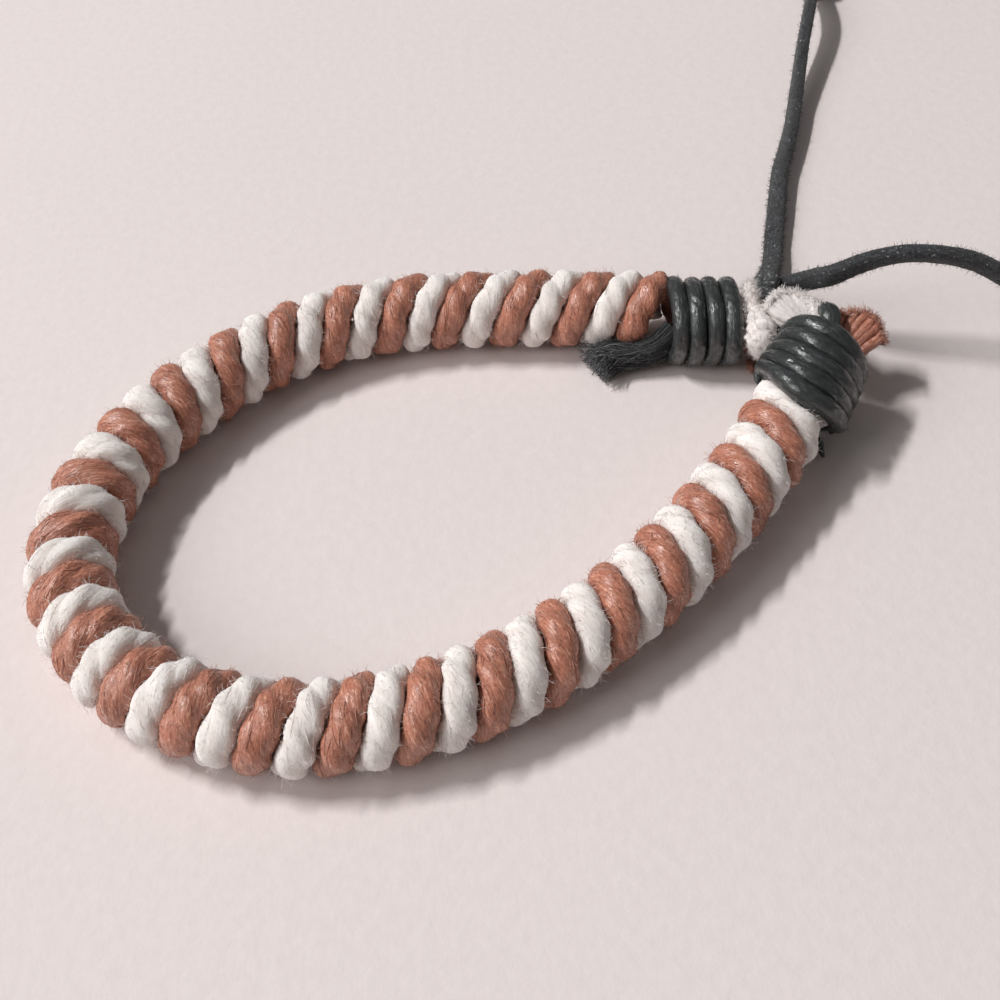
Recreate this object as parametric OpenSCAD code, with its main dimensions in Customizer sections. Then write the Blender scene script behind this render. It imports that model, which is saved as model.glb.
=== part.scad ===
/* [Braid] */
// Diameter of the bracelet over its two wound cords
braid_d = 7; // [6.4:0.1:7.4]
// Turns that each cord makes between the two bindings
turns = 26; // [22:1:28]
// Radius of the narrow hollow that the winding leaves along its middle
hollow_r = 0.6; // [0.4:0.1:0.9]
// Gap that keeps neighbouring cords apart
cord_gap = 0.08; // [0.05:0.01:0.2]

/* [Bindings] */
// Step from one wrap of the left binding to the next, along the bracelet
left_pitch = 1.5; // [1.3:0.05:1.6]
// Step from one wrap of the right binding to the next, where its wraps are closest
right_pitch = 1.1; // [1:0.05:1.2]
// Thickness of the waxed cord, across the bracelet
wrap_t = 1.6; // [1.4:0.1:1.7]
// Turns of the left binding
left_wraps = 4; // [3:1:4]
// Turns of the right binding
right_wraps = 4.6; // [4.2:0.1:4.8]

/* [Lace] */
// Width of the flat lace
lace_w = 1.8; // [1.6:0.1:2]
// Thickness of the flat lace
lace_t = 1.3; // [1:0.1:1.4]
// Diameter of the knot at the end of each tail
tail_knot_d = 3.6; // [3:0.1:4]

/* [Hidden] */

cord_white = [0.93, 0.92, 0.89];
cord_brown = [0.70, 0.34, 0.21];
wax_black = [0.10, 0.11, 0.11];

// Middle line of the bracelet, from the left end round to the right end.
// Columns: x, y, rise over the height at which the braid lies.
ROUTE = [
    [25.6, 17.1, 0.1],
    [24.4, 17.3, 0.1],
    [16.1, 18.9, 0],
    [5.1, 20.7, 0],
    [-5.9, 21.5, 0],
    [-15.9, 19, 0],
    [-24.9, 12.2, 0],
    [-30.5, 3.2, 0],
    [-31.3, -7, 0],
    [-25.6, -16.2, 0],
    [-15.9, -21, 0],
    [-5.3, -20.9, 0],
    [4.4, -17, 0],
    [12.9, -10.7, 0],
    [20.5, -2.7, 0.1],
    [27.3, 6.2, 0.95],
    [30.1, 10.2, 1.25]];

// How the winding departs from even turns. Columns: turn, turns ahead of even spacing, lean of
// the turns along the bracelet.
WINDING = [
    [0, -0.06, 0.2],
    [4, 0, 0.4],
    [7, 0.14, 0.4],
    [9, 0.25, -0.5],
    [11, 0.34, -1.7],
    [13, 0.38, -1.2],
    [15, 0.38, -0.4],
    [17, 0.36, 0],
    [20, 0.19, 0.1],
    [23, 0.07, 0.2],
    [26, 0, 0.3],
    [27, 0.12, 0.3]];

// Free tails of the lace, from the knot to the knot at the far end. The lace turns from flat to
// on edge. Columns: x, y, z, roll.
FAR_TAIL = [
    [27.2, 21.9, 2.8, 0],
    [28.2, 24.4, 1.7, 0],
    [29.2, 27.2, 1, 5],
    [30, 30.4, 0.8, 10],
    [30.9, 33.8, 0.9, 20],
    [31.9, 37.6, 1, 30],
    [33, 41.6, 1.1, 40],
    [34.5, 45.6, 1.2, 50],
    [35.9, 49.6, 1.3, 60],
    [37.1, 53.6, 1.5, 65],
    [38.3, 57.6, 2.1, 70],
    [39.5, 61.6, 2.8, 75],
    [40.8, 65.6, 3.4, 75],
    [42.1, 69.6, 3.6, 75],
    [43.3, 73.2, 3, 75],
    [44.2, 76.2, 2.1, 75]];
RIGHT_TAIL = [
    [28.5, 20.5, 3.5, 80],
    [29.7, 19.9, 4.2, 80],
    [30.8, 18.9, 5.3, 80],
    [31.9, 17.4, 6.8, 75],
    [33.4, 16.7, 8.1, 70],
    [35.2, 16.2, 9.1, 65],
    [37.4, 15.6, 9.8, 60],
    [39.9, 14.8, 10, 60],
    [42.5, 14.2, 9.5, 65],
    [44.9, 13.4, 8.4, 70],
    [47.2, 13, 6.8, 70],
    [49, 12.6, 5.1, 75],
    [50.6, 12.3, 3.4, 75],
    [52, 11.8, 2.4, 75],
    [53.2, 11.4, 2, 75]];

// Loose ends and short laces. Columns: x, y, z, width, thickness.
LEFT_TAIL = [
    [17.1, 14.6, 2.2, 1.5, 1.5],
    [16.3, 14.8, 2, 1.6, 1.6],
    [15.2, 15.1, 1.8, 1.7, 1.6],
    [13.9, 15.2, 1.6, 1.9, 1.7],
    [12.6, 15.4, 1.5, 2.4, 1.9],
    [11.5, 15.2, 1.4, 3.3, 2],
    [10.6, 14.8, 1.3, 4.1, 1.8]];
LEFT_WHITE = [
    [25, 16.4, 4.6, 1.6, 1.6],
    [25.2, 15.5, 4, 1.9, 1.9],
    [25.5, 14.8, 2.9, 2.3, 2],
    [25.4, 14.1, 1.5, 2.2, 1.6]];
LEFT_BROWN = [
    [25.4, 15.2, 0.6, 1.2, 0.8],
    [25.2, 14.2, 0.6, 1.6, 0.9],
    [24.9, 12.7, 0.6, 2.2, 0.9]];
RIGHT_WHITE = [
    [28.9, 11.4, 5.6, 1.8, 1.8],
    [28.3, 12.4, 6.1, 2.6, 2.2],
    [27.5, 13.7, 6.7, 3.8, 2.4],
    [26.8, 14.9, 7.2, 4.6, 2.2]];
RIGHT_BROWN = [
    [31.4, 10.5, 4.4, 2, 2],
    [32.2, 10.9, 4.8, 3, 2.2],
    [32.9, 11.4, 5.4, 4.1, 2.2],
    [33.4, 11.9, 5.9, 4.5, 1.8]];
LINK = [
    [26.8, 18.3, 4.6, 1, 0.8],
    [26.5, 16.4, 5, 1, 0.8],
    [26.4, 14.4, 4.9, 1.1, 0.8],
    [27.1, 12.6, 4.7, 1.2, 0.8]];
RETURN = [
    [30.1, 10.8, 5.2, 1.5, 1.2],
    [30.4, 11.4, 6.2, 1.6, 1.3],
    [30.5, 12.4, 6.7, 1.7, 1.3],
    [30.4, 13.7, 6.2, 1.6, 1.2],
    [30, 15.3, 4.9, 1.6, 1.2],
    [29.4, 17, 3.8, 1.5, 1.2],
    [28.5, 18.5, 3.2, 1.4, 1.2]];

// Lobes of the knot between the two tails. Columns: x, y, z, diameter.
KNOT = [
    [26.7, 19.4, 3.9, 2],
    [27.2, 20.4, 3, 2.2],
    [26.5, 19.9, 3.2, 2.2]];

// How finely the curves are cut
samples = 12;
rings_per_turn = 10;
binding_rings = 12;
strand_sides = 8;
corner = 2.6;
knot_fn = 16;

function unit(v) = v / norm(v);

// A smooth curve through all the points of a list, with samples steps from each to the next
function knee(p, i) = p[max(0, min(len(p) - 1, i))];
function blend(a, b, c, d, t) =
    (2 * b + (c - a) * t + (2 * a - 5 * b + 4 * c - d) * t * t + (3 * b - a - 3 * c + d) * t * t * t) / 2;
function smooth(p, n) = concat(
    [for (i = [0:len(p) - 2], j = [0:n - 1]) blend(knee(p, i - 1), p[i], p[i + 1], knee(p, i + 2), j / n)],
    [p[len(p) - 1]]);
function stations(p) = [for (i = 0, s = 0; i < len(p); s = s + norm(knee(p, i + 1) - p[i]), i = i + 1) s];

// The middle line by its length, and the directions across it
line = smooth([for (p = ROUTE) [p[0], p[1], p[2] + braid_d / 2]], samples);
station = stations(line);
line_end = station[len(line) - 1];
table_x = [for (i = [0:len(line) - 1]) [station[i], line[i][0]]];
table_y = [for (i = [0:len(line) - 1]) [station[i], line[i][1]]];
table_z = [for (i = [0:len(line) - 1]) [station[i], line[i][2]]];
function at(s) = [lookup(s, table_x), lookup(s, table_y), lookup(s, table_z)];
function along(s) = unit(at(s + 1) - at(s - 1));
function outward(s) = unit(cross(along(s), [0, 0, 1]));
function upward(s) = cross(outward(s), along(s));
function around(s, out, up) = at(s) + out * outward(s) + up * upward(s);

// Where the bindings lie and the winding shows. The end of the left binding lies in the wedge
// beside the first turn, and the start of the right binding lies on the last turns. The white
// cord runs half a turn from the brown one. It starts later and ends later.
brown_shift = 0.25;
white_shift = 0.75;
start_turn = -0.6;
white_late = 0.2;
brown_extra = 0.2;
white_extra = 0.5;
left_start = 1.05;
left_in_wedge = 0.35;
right_over_braid = 1.35;
braid_start = left_start + (left_wraps + 1) * left_pitch - left_in_wedge;
right_start = line_end - (right_wraps + 1) * right_pitch;
braid_end = right_start - right_over_braid;
pitch = (braid_end - braid_start) / turns;

// Shape of each binding: how far a wrap leans back along the bracelet on the outer side and at the
// top, how far its middle is moved out, and its outer half widths across and up. The left one is a
// flat oval, because it also holds its own cut end in front of the braid. The first wraps of the
// right one lean over the braid.
// Columns: turn, lean of the outer side, lean of the top, middle, half width, half height.
LEFT_WRAPS = [[0, -0.85, 0, -1.35, 4.2, 3.6]];
RIGHT_WRAPS = [[0, 1, 3.4, 0, 4.5, 4.4], [5.6, 0, 0.4, -0.35, 4, 4.5]];
function value(table, turn, k) = lookup(turn, [for (row = table) [row[0], row[k]]]);

// Station where the wrap starts that has come round by turn, at angle a from the top
left_first = 170;
right_first = 120;
function wrap_edge(table, step, turn, a) =
    step * turn - value(table, turn, 1) * sin(a) - value(table, turn, 2) * pow((1 + cos(a)) / 2, 2);

// The cords are squeezed where a binding holds them, from its edge at angle a inwards.
// Columns: way along from the edge, size.
LEFT_SQUEEZE = [[0.3, 0.32], [1.3, 1]];
RIGHT_SQUEEZE = [[-0.9, 1], [-0.1, 0.78], [1.5, 0.64]];
function part_turn(a) = a / 360 - floor(a / 360);
function left_edge(a) =
    left_start - cord_gap + wrap_edge(LEFT_WRAPS, left_pitch, left_wraps + part_turn(left_first - a), a);
function right_edge(a) = right_start + wrap_edge(RIGHT_WRAPS, right_pitch, part_turn(right_first - a), a);
function squeeze(s, a) =
    min(lookup(s - left_edge(a), LEFT_SQUEEZE), lookup(s - right_edge(a), RIGHT_SQUEEZE));

// A ring of points with softened corners, one unit in radius
function signed_pow(v, e) = sign(v) * pow(abs(v), e);
function rounded(n, e) = [for (i = [0:n - 1])
    [signed_pow(cos(360 * i / n), 2 / e), signed_pow(sin(360 * i / n), 2 / e)]];

// A closed tube through rings of equal size
module tube(rings) {
    n = len(rings[0]);
    last = len(rings) - 1;
    sides = [for (i = [0:last - 1], j = [0:n - 1], half = [0, 1])
        let (a = i * n + j, b = i * n + (j + 1) % n)
        half == 0 ? [a, b, b + n] : [a, b + n, a + n]];
    start = [[for (j = [n - 1:-1:0]) j]];
    end = [[for (j = [0:n - 1]) last * n + j]];
    polyhedron([for (ring = rings) each ring], concat(start, sides, end));
}

// Outline of one wound cord in half widths and half heights, with more points on the outer side
CORD_SECTION = [[1, 0.05], [0.74, 0.76], [0, 1], [-0.74, 0.76], [-1, 0.05], [-0.7, -0.9], [0.7, -0.9]];
ahead = [for (w = WINDING) [w[0], w[1]]];
lean = [for (w = WINDING) [w[0], w[2]]];

// One wound cord. Its section lies in the plane through the middle line at angle a from the top.
function wound_ring(turn, shift) =
    let (a = -360 * turn,
        r_mid = (braid_d / 2 + hollow_r) / 2,
        r_half = (braid_d / 2 - hollow_r) / 2)
    [for (p = CORD_SECTION)
        let (m = turn + shift + p[0] * (1 - 2 * cord_gap / pitch) / 4,
            s = braid_start + pitch * (m + lookup(m, ahead)) - lookup(m, lean) * sin(a),
            r = (r_mid + p[1] * r_half) * squeeze(s, a))
        around(s, r * sin(a), r * cos(a))];
module wound_cord(shift, late, extra) {
    count = round((turns + extra - late) * rings_per_turn);
    tube([for (i = [0:count]) wound_ring(start_turn + late + i / rings_per_turn, shift)]);
}

// A binding: turns of waxed cord from station s on. Each wrap reaches to the start of the next one.
function binding_ring(s, table, step, turn, first) =
    let (a = first - 360 * turn,
        near = s + wrap_edge(table, step, turn, a),
        far = s + wrap_edge(table, step, turn + 1, a) - cord_gap)
    [for (p = rounded(strand_sides, corner))
        let (rise = (p[1] - 1) * wrap_t / 2,
            out = value(table, turn, 3) + (value(table, turn, 4) + rise) * sin(a),
            up = (value(table, turn, 5) + rise) * cos(a))
        around((near + far) / 2 + p[0] * (far - near) / 2, out, up)];
module binding(s, table, step, wraps, first) {
    count = round(wraps * binding_rings);
    tube([for (i = [0:count]) binding_ring(s, table, step, i / binding_rings, first)]);
}

// A strand through rows of a table: place, width across, thickness and roll
function place(row) = [row[0], row[1], row[2]];
function strand_ring(rows, i) =
    let (forward = unit(place(knee(rows, i + 1)) - place(knee(rows, i - 1))),
        level = unit(cross(forward, [0, 0, 1])),
        upright = cross(level, forward),
        roll = rows[i][5],
        across = (level * cos(roll) + upright * sin(roll)) * rows[i][3] / 2,
        over = (upright * cos(roll) - level * sin(roll)) * rows[i][4] / 2)
    [for (p = rounded(strand_sides, corner)) place(rows[i]) + across * p[0] + over * p[1]];
module strand(rows) {
    tube([for (i = [0:len(rows) - 1]) strand_ring(rows, i)]);
}
function lace_rows(route) = [for (p = route) [p[0], p[1], p[2], lace_w, lace_t, p[3]]];
function flat_rows(rows) = [for (p = rows) concat(p, [0])];

module white_cord() {
    color(cord_white) wound_cord(white_shift, white_late, white_extra);
}

module brown_cord() {
    color(cord_brown) wound_cord(brown_shift, 0, brown_extra);
}

module left_binding() {
    color(wax_black) binding(left_start, LEFT_WRAPS, left_pitch, left_wraps, left_first);
}

module right_binding() {
    color(wax_black) binding(right_start, RIGHT_WRAPS, right_pitch, right_wraps, right_first);
}

module left_binding_tail() {
    color(wax_black) strand(smooth(flat_rows(LEFT_TAIL), 2));
}

module left_white_end() {
    color(cord_white) strand(smooth(flat_rows(LEFT_WHITE), 3));
}

module left_brown_end() {
    color(cord_brown) strand(smooth(flat_rows(LEFT_BROWN), 3));
}

module right_white_end() {
    color(cord_white) strand(smooth(flat_rows(RIGHT_WHITE), 3));
}

module right_brown_end() {
    color(cord_brown) strand(smooth(flat_rows(RIGHT_BROWN), 3));
}

module lace_knot() {
    color(wax_black) hull() {
        for (lobe = KNOT) translate(place(lobe)) sphere(d = lobe[3], $fn = knot_fn);
    }
}

module lace_link() {
    color(wax_black) strand(smooth(flat_rows(LINK), 3));
}

module lace_return() {
    color(wax_black) strand(smooth(flat_rows(RETURN), 2));
}

module far_tail() {
    color(wax_black) strand(lace_rows(FAR_TAIL));
}

module right_tail() {
    color(wax_black) strand(lace_rows(RIGHT_TAIL));
}

module tail_knot(route) {
    last = place(route[len(route) - 1]);
    forward = unit(last - place(route[len(route) - 2]));
    reach = tail_knot_d / 2 + cord_gap;
    color(wax_black)
        translate([last[0] + forward[0] * reach, last[1] + forward[1] * reach, tail_knot_d / 2])
        sphere(d = tail_knot_d, $fn = knot_fn);
}

module far_tail_knot() {
    tail_knot(FAR_TAIL);
}

module right_tail_knot() {
    tail_knot(RIGHT_TAIL);
}

white_cord();
brown_cord();
left_binding();
left_binding_tail();
right_binding();
left_white_end();
left_brown_end();
right_white_end();
right_brown_end();
lace_knot();
lace_link();
lace_return();
far_tail();
right_tail();
far_tail_knot();
right_tail_knot();
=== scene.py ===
"""Looks of the cord bracelet with lace ties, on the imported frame. Sizes and tables are in millimetres."""
import math

import bpy
import numpy as np
from mathutils import Matrix, Vector


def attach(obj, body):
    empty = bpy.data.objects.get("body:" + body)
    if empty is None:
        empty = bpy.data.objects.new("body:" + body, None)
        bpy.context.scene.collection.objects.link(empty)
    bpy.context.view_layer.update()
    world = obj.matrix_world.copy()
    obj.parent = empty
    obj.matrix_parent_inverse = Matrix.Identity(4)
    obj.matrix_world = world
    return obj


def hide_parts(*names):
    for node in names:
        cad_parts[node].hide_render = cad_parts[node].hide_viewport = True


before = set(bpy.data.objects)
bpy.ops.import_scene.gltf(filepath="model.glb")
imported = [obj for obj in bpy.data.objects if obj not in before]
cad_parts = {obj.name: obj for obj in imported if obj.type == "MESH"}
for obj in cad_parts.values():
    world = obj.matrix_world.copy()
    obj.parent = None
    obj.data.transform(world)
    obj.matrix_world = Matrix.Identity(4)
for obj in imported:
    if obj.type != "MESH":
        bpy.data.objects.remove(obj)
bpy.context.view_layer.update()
MM = 0.001

# Sizes of the CAD model: the braid, the hollow along its middle, the bindings' cord and the lace
BRAID_D = 7.0
HOLLOW_R = 0.6
TURNS = 26
GAP = 0.08
LEFT_PITCH, RIGHT_PITCH = 1.5, 1.1
LEFT_TURNS, RIGHT_TURNS = 4, 4.6
WRAP_T = 1.6
LACE_W = 1.8
LACE_T = 1.3

# The braid's middle line. Columns: x, y, rise above a braid that lies on the table
ROUTE = [
    [25.6, 17.1, 0.1], [24.4, 17.3, 0.1], [16.1, 18.9, 0], [5.1, 20.7, 0], [-5.9, 21.5, 0], [-15.9, 19, 0],
    [-24.9, 12.2, 0], [-30.5, 3.2, 0], [-31.3, -7, 0], [-25.6, -16.2, 0], [-15.9, -21, 0],
    [-5.3, -20.9, 0], [4.4, -17, 0], [12.9, -10.7, 0], [20.5, -2.7, 0.1], [27.3, 6.2, 0.95],
    [30.1, 10.2, 1.25]]
# Columns: turn, turns ahead of even spacing, lean of the turns
WINDING = np.array([
    [0, -0.06, 0.2], [4, 0, 0.4], [7, 0.14, 0.4], [9, 0.25, -0.5], [11, 0.34, -1.7],
    [13, 0.38, -1.2], [15, 0.38, -0.4], [17, 0.36, 0], [20, 0.19, 0.1], [23, 0.07, 0.2],
    [26, 0, 0.3], [27, 0.12, 0.3]])
# The bindings. Columns: turn, lean of the outer side, lean of the top, middle, half width, half height
LEFT_WRAPS = np.array([[0, -0.85, 0, -1.35, 4.2, 3.6], [6, -0.85, 0, -1.35, 4.2, 3.6]])
RIGHT_WRAPS = np.array([[0, 1, 3.4, 0, 4.5, 4.4], [5.6, 0, 0.4, -0.35, 4, 4.5]])
# The free tails of the lace. Columns: x, y, z, roll
FAR_TAIL = [
    [27.2, 21.9, 2.8, 0], [28.2, 24.4, 1.7, 0], [29.2, 27.2, 1, 5], [30, 30.4, 0.8, 10],
    [30.9, 33.8, 0.9, 20], [31.9, 37.6, 1, 30], [33, 41.6, 1.1, 40], [34.5, 45.6, 1.2, 50],
    [35.9, 49.6, 1.3, 60], [37.1, 53.6, 1.5, 65], [38.3, 57.6, 2.1, 70], [39.5, 61.6, 2.8, 75],
    [40.8, 65.6, 3.4, 75], [42.1, 69.6, 3.6, 75], [43.3, 73.2, 3, 75], [44.2, 76.2, 2.1, 75]]
RIGHT_TAIL = [
    [28.5, 20.5, 3.5, 80], [29.7, 19.9, 4.2, 80], [30.8, 18.9, 5.3, 80], [31.9, 17.4, 6.8, 75],
    [33.4, 16.7, 8.1, 70], [35.2, 16.2, 9.1, 65], [37.4, 15.6, 9.8, 60], [39.9, 14.8, 10, 60],
    [42.5, 14.2, 9.5, 65], [44.9, 13.4, 8.4, 70], [47.2, 13, 6.8, 70], [49, 12.6, 5.1, 75],
    [50.6, 12.3, 3.4, 75], [52, 11.8, 2.4, 75], [53.2, 11.4, 2, 75]]
# Short strands and cut ends. Columns: x, y, z, width, thickness
LINK = [
    [26.8, 18.3, 4.6, 1, 0.8], [26.5, 16.4, 5, 1, 0.8], [26.4, 14.4, 4.9, 1.1, 0.8],
    [27.1, 12.6, 4.7, 1.2, 0.8]]
RETURN = [
    [30.1, 10.8, 5.2, 1.5, 1.2], [30.4, 11.4, 6.2, 1.6, 1.3], [30.5, 12.4, 6.7, 1.7, 1.3],
    [30.4, 13.7, 6.2, 1.6, 1.2], [30, 15.3, 4.9, 1.6, 1.2], [29.4, 17, 3.8, 1.5, 1.2],
    [28.5, 18.5, 3.2, 1.4, 1.2]]
BRUSH = [
    [18.2, 16.1, 3.1, 2.2, 2.6], [17.3, 15.6, 2.6, 2.2, 2.4], [16.3, 15.1, 2.2, 2, 2.1],
    [15.2, 15.1, 1.8, 1.7, 1.7], [13.9, 15.2, 1.6, 1.9, 1.7], [12.6, 15.4, 1.5, 2.4, 1.9],
    [11.5, 15.2, 1.4, 3.3, 2], [10.6, 14.8, 1.3, 4.1, 1.8]]
LEFT_BROWN = [
    [24.2, 14.6, 2, 1.3, 1.1], [25, 14.9, 1.3, 1.3, 1], [25.4, 15.2, 0.6, 1.2, 0.8],
    [25.2, 14.2, 0.6, 1.6, 0.9], [24.9, 12.7, 0.6, 2.2, 0.9]]
# The white lump at the left end and two loose ends of the right binding. Columns: x, y, z, radius
LEFT_WHITE = [
    [24.55, 17.7, 6.7, 0.3], [24.6, 17, 6.5, 0.5], [24.6, 16.2, 6.2, 0.55], [24.65, 15.3, 5.8, 0.5],
    [24.8, 14.2, 5.4, 0.95], [24.95, 13.1, 4.9, 1.35], [24.95, 12.5, 4, 1.25], [25, 12.5, 2.9, 0.6]]
RIGHT_WRAP_ENDS = [
    [[25.4, 9.9, 4.6, 0.5], [24.3, 9.1, 4.3, 0.45], [23.8, 8.4, 4, 0.35], [24, 7.7, 3.6, 0.1]],
    [[27.9, 6.4, 3, 0.8], [27.9, 5.2, 2.1, 0.65], [27.95, 4, 1.4, 0.5], [28.1, 3, 0.9, 0.36],
     [28.25, 2.1, 0.4, 0.14]]]
# The fans of yarns at the right end: start, middle and end of each fan. Columns: x, y, z
WHITE_FAN_ROOTS = [[27.75, 12.7, 5.9], [28.4, 12.9, 5.8], [29.5, 12, 5.4]]
WHITE_FAN_TIPS = [[25.6, 14.3, 6.5], [27.3, 17.2, 7], [30.3, 13.5, 6.3]]
BROWN_FAN_ROOTS = [[31, 11.7, 5], [31.9, 11, 5], [32.6, 9.8, 4.5]]
BROWN_FAN_TIPS = [[31.8, 12.9, 6.3], [34.7, 13.4, 6.3], [34.6, 10.7, 5.3]]


# Curves

# Steps from each row of a table to the next
LINE_STEPS = 12
STRIP_STEPS = 10
# What brings the mean of a few sines to about -1 to 1
WAVE_GAIN = 1.4


def unit(v):
    """Vectors scaled to length 1."""
    return v / np.maximum(np.linalg.norm(v, axis=-1, keepdims=True), 1e-12)


def smooth(table, steps):
    """A smooth curve through all rows of a table, with so many steps from each row to the next."""
    p = np.asarray(table, float)
    q = np.vstack([p[:1], p, p[-1:]])
    t = np.arange(steps)[:, None] / steps
    parts = [
        (2 * b + (c - a) * t + (2 * a - 5 * b + 4 * c - d) * t**2 + (3 * b - a - 3 * c + d) * t**3) / 2
        for a, b, c, d in zip(q[:-3], q[1:-2], q[2:-1], q[3:])]
    return np.vstack(parts + [p[-1:]])


def smooth_strip(table):
    """A smooth strip through rows of x, y, z, width and thickness, with no roll."""
    return smooth([row + [0] for row in table], STRIP_STEPS)


def lengths(path):
    """The length of a path up to each of its points."""
    return np.concatenate([[0], np.cumsum(np.linalg.norm(np.diff(path[:, :3], axis=0), axis=1))])


def sample(places, knots, table):
    """The rows of a table at some places, where knots holds the place of each of its rows."""
    return np.stack([np.interp(places, knots, table[:, k]) for k in range(table.shape[1])], -1)


LINE = smooth([[x, y, BRAID_D / 2 + rise] for x, y, rise in ROUTE], LINE_STEPS)
STATION = lengths(LINE)
LINE_END = STATION[-1]


def at(s):
    """Points of the bracelet's middle line at stations s."""
    return sample(s, STATION, LINE)


def around(s, out, up):
    """A point beside the bracelet's middle line, by its station and its offsets outwards and up."""
    along = unit(at(s + 1) - at(s - 1))
    outward = unit(np.cross(along, [0, 0, 1]))
    return at(s) + out[..., None] * outward + up[..., None] * np.cross(outward, along)


def wave(x, seed, rate, terms=5):
    """Smooth noise between about -1 and 1."""
    rng = np.random.default_rng(seed)
    total = 0
    for _ in range(terms):
        total = total + np.sin(x * rate * rng.uniform(0.4, 1.9) + rng.uniform(0, 2 * np.pi))
    return total / terms * WAVE_GAIN


def circle(sides):
    """The angles of a ring's corners."""
    return 2 * np.pi * np.arange(sides) / sides


def signed_pow(v, e):
    """A power that keeps the sign."""
    return np.sign(v) * np.abs(v) ** e


def round_square(angle, corner, corner_up=None):
    """Both coordinates of a square with round corners. A corner of 2 is a circle, a higher one is squarer."""
    return signed_pow(np.cos(angle), 2 / corner), signed_pow(np.sin(angle), 2 / (corner_up or corner))


def grid(*parts):
    """Arrays spread to one shape and joined along a new last axis."""
    return np.stack(np.broadcast_arrays(*parts), -1)


# Meshes

# Threads: the corners of their section, and how far apart they take their noise
THREAD_SIDES = 3
THREAD_APART = 50
# Hairs: how deep they are rooted, and how much thinner their tips are
HAIR_ROOT = 0.05
HAIR_TAPER = 0.55
# Bundles: how square their section is, and the steps between the seeds of their threads
BUNDLE_CORNER = 2.6
BUNDLE_SEEDS = 977
SECOND_SEEDS = 50000


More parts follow.
